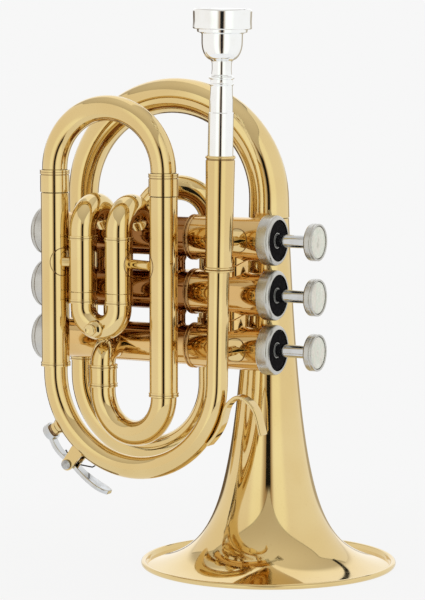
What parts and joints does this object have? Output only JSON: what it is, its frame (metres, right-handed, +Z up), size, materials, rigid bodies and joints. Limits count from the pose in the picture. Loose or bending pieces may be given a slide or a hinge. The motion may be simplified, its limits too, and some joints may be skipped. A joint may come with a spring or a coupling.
{
  "type": "pocket trumpet",
  "caption": "Compact three-valve brass trumpet, tightly wound around its piston valves, standing on its flared bell, with cup mouthpiece, tuning slides, water key and finger hook.",
  "frame": {"origin": "centre of the bounding box on the plane of the bell rim, which the instrument stands on", "axes": "+Z up through the bell towards the mouthpiece, +X along the valves towards the finger buttons, +Y from the leadpipe side towards the bell side"},
  "size_m": [0.1686, 0.1276, 0.2624],
  "materials": {
    "lacquered_brass": "polished clear lacquer",
    "silver_plate": "polished silver plate",
    "nickel_plate": "satin nickel plate",
    "monel": "honed nickel alloy",
    "steel": "bright steel",
    "pearl": "pearl inlay",
    "black_felt": "dense felt",
    "cork": "cut cork"
  },
  "bodies": {
    "instrument": {"valve_casing_1": "lacquered_brass", "bottom_cap_1": "nickel_plate", "top_cap_1": "nickel_plate", "top_felt_1": "black_felt", "valve_spring_1": "steel", "valve_casing_2": "lacquered_brass", "bottom_cap_2": "nickel_plate", "top_cap_2": "nickel_plate", "top_felt_2": "black_felt", "valve_spring_2": "steel", "valve_casing_3": "lacquered_brass", "bottom_cap_3": "nickel_plate", "top_cap_3": "nickel_plate", "top_felt_3": "black_felt", "valve_spring_3": "steel", "transfer_tube_1": "lacquered_brass", "transfer_tube_2": "lacquered_brass", "mouthpiece_receiver": "lacquered_brass", "leadpipe": "lacquered_brass", "left_slide_sleeve": "lacquered_brass", "right_slide_sleeve": "lacquered_brass", "inlet_bow": "lacquered_brass", "first_slide_sleeve_1": "lacquered_brass", "first_slide_sleeve_2": "lacquered_brass", "second_slide_sleeve_1": "lacquered_brass", "second_slide_sleeve_2": "lacquered_brass", "third_slide_sleeve_1": "lacquered_brass", "third_slide_sleeve_2": "lacquered_brass", "bell": "lacquered_brass", "bell_bow": "lacquered_brass", "tail_bow": "lacquered_brass", "tail_arc": "lacquered_brass", "slide_brace_1": "lacquered_brass", "slide_brace_2": "lacquered_brass", "leadpipe_brace_1": "lacquered_brass", "leadpipe_brace_2": "lacquered_brass", "pinky_hook": "lacquered_brass", "water_key_screw": "steel", "water_key_spring": "steel"},
    "valve_1": {"piston_1": "monel", "valve_stem_1": "nickel_plate", "finger_button_1": "nickel_plate", "button_pearl_1": "pearl"},
    "valve_2": {"piston_2": "monel", "valve_stem_2": "nickel_plate", "finger_button_2": "nickel_plate", "button_pearl_2": "pearl"},
    "valve_3": {"piston_3": "monel", "valve_stem_3": "nickel_plate", "finger_button_3": "nickel_plate", "button_pearl_3": "pearl"},
    "mouthpiece_body": {"mouthpiece": "silver_plate"},
    "main_tuning_slide": {"tuning_slide": "lacquered_brass"},
    "first_valve_slide": {"first_slide": "lacquered_brass"},
    "second_valve_slide": {"second_slide": "lacquered_brass"},
    "third_valve_slide": {"third_slide": "lacquered_brass"},
    "water_key": {"water_key_lever": "nickel_plate", "water_key_cork": "cork"}
  },
  "joints": [
    {"name": "valve_1_press", "type": "slide", "parent": "instrument", "child": "valve_1", "axis": [-1, 0, 0], "range_m": [0, 0.016], "stiffness_N_per_m": 150, "springref_m": -0.012, "deforming": ["valve_spring_1"]},
    {"name": "valve_2_press", "type": "slide", "parent": "instrument", "child": "valve_2", "axis": [-1, 0, 0], "range_m": [0, 0.016], "stiffness_N_per_m": 150, "springref_m": -0.012, "deforming": ["valve_spring_2"]},
    {"name": "valve_3_press", "type": "slide", "parent": "instrument", "child": "valve_3", "axis": [-1, 0, 0], "range_m": [0, 0.016], "stiffness_N_per_m": 150, "springref_m": -0.012, "deforming": ["valve_spring_3"]},
    {"name": "tuning_slide_pull", "type": "slide", "parent": "instrument", "child": "main_tuning_slide", "axis": [0, 0, 1], "range_m": [0, 0.03]},
    {"name": "first_slide_pull", "type": "slide", "parent": "instrument", "child": "first_valve_slide", "axis": [0, 0, -1], "range_m": [0, 0.005]},
    {"name": "second_slide_pull", "type": "slide", "parent": "instrument", "child": "second_valve_slide", "axis": [0, 1, 0], "range_m": [0, 0.008]},
    {"name": "third_slide_pull", "type": "slide", "parent": "instrument", "child": "third_valve_slide", "axis": [0, 0, 1], "range_m": [0, 0.012]},
    {"name": "mouthpiece_pull", "type": "slide", "parent": "instrument", "child": "mouthpiece_body", "axis": [0.0166, 0, 0.9999], "range_m": [0, 0.03]},
    {"name": "water_key_turn", "type": "hinge", "parent": "instrument", "child": "water_key", "pos_m": [-0.05214, -0.05053, 0.05026], "axis": [0, -1, 0], "range_deg": [0, 12], "stiffness_Nm_per_rad": 0.05, "springref_deg": -20.05}
  ]
}
